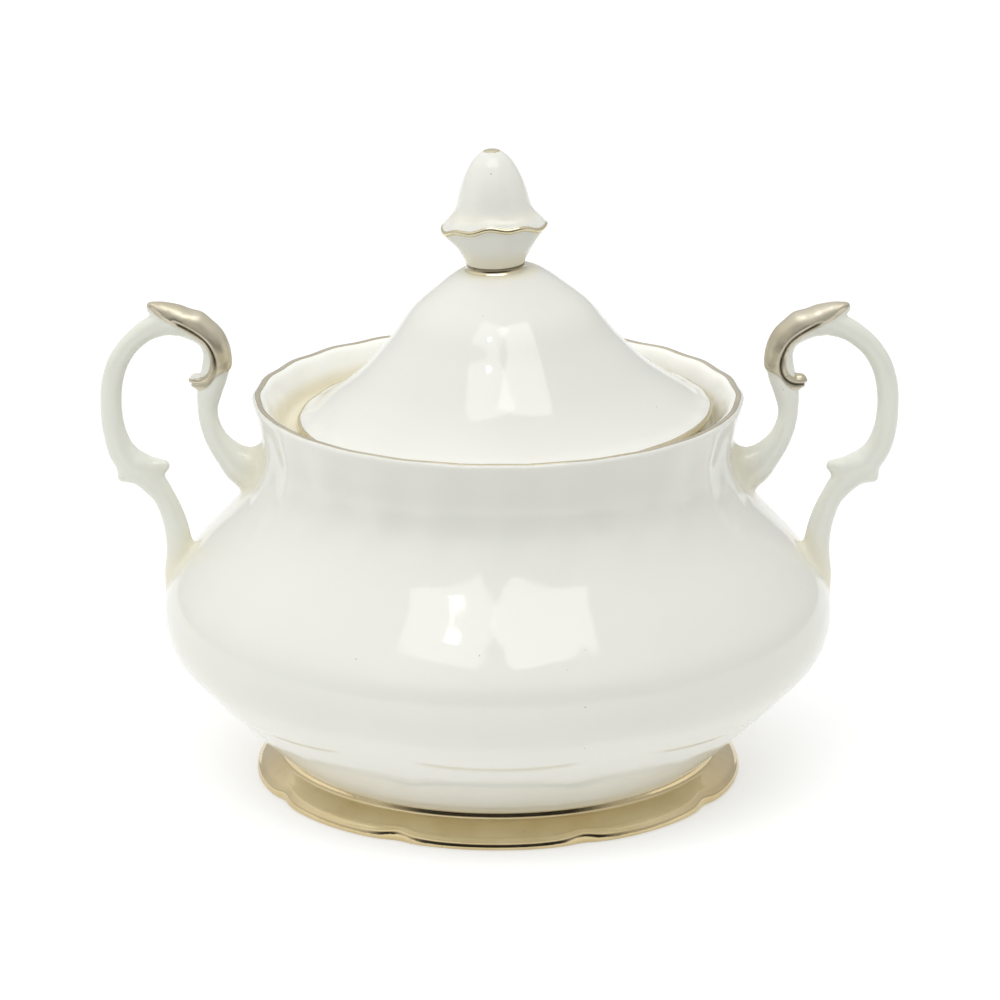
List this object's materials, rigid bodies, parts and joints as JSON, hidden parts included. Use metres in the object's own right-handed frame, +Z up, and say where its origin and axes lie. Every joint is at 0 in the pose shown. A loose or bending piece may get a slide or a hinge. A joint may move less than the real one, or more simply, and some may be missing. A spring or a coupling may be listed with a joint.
{
  "type": "covered sugar bowl",
  "caption": "Squat round china sugar bowl with scrolled side handles, scalloped foot ring and a loose domed lid with an acorn finial, trimmed with fired metal.",
  "frame": {"origin": "middle of the plane that the foot rests on, under the middle of the whole object's box", "axes": "+X runs through both handles, +Z up along the bowl's axis, and -Y faces the viewer"},
  "size_m": [0.1592, 0.1338, 0.1286],
  "materials": {
    "bowl_china": "gloss",
    "foot_china": "gloss",
    "handle_china": "gloss",
    "lid_china": "gloss",
    "finial_china": "gloss",
    "fired_metal": "polished"
  },
  "bodies": {
    "bowl": {"bowl_shell": "bowl_china", "rim_band": "fired_metal", "foot_ring": "foot_china", "foot_gilding": "fired_metal", "handle_left": "handle_china", "handle_left_gilding": "fired_metal", "handle_right": "handle_china", "handle_right_gilding": "fired_metal"},
    "lid": {"lid_shell": "lid_china", "lid_edge_band": "fired_metal", "finial": "finial_china", "finial_neck_band": "fired_metal", "finial_collar_band": "fired_metal", "finial_tip_spot": "fired_metal"}
  },
  "joints": [
    {"name": "lid_lift", "type": "slide", "parent": "bowl", "child": "lid", "axis": [0, 0, 1], "range_m": [0, 0.06]}
  ]
}
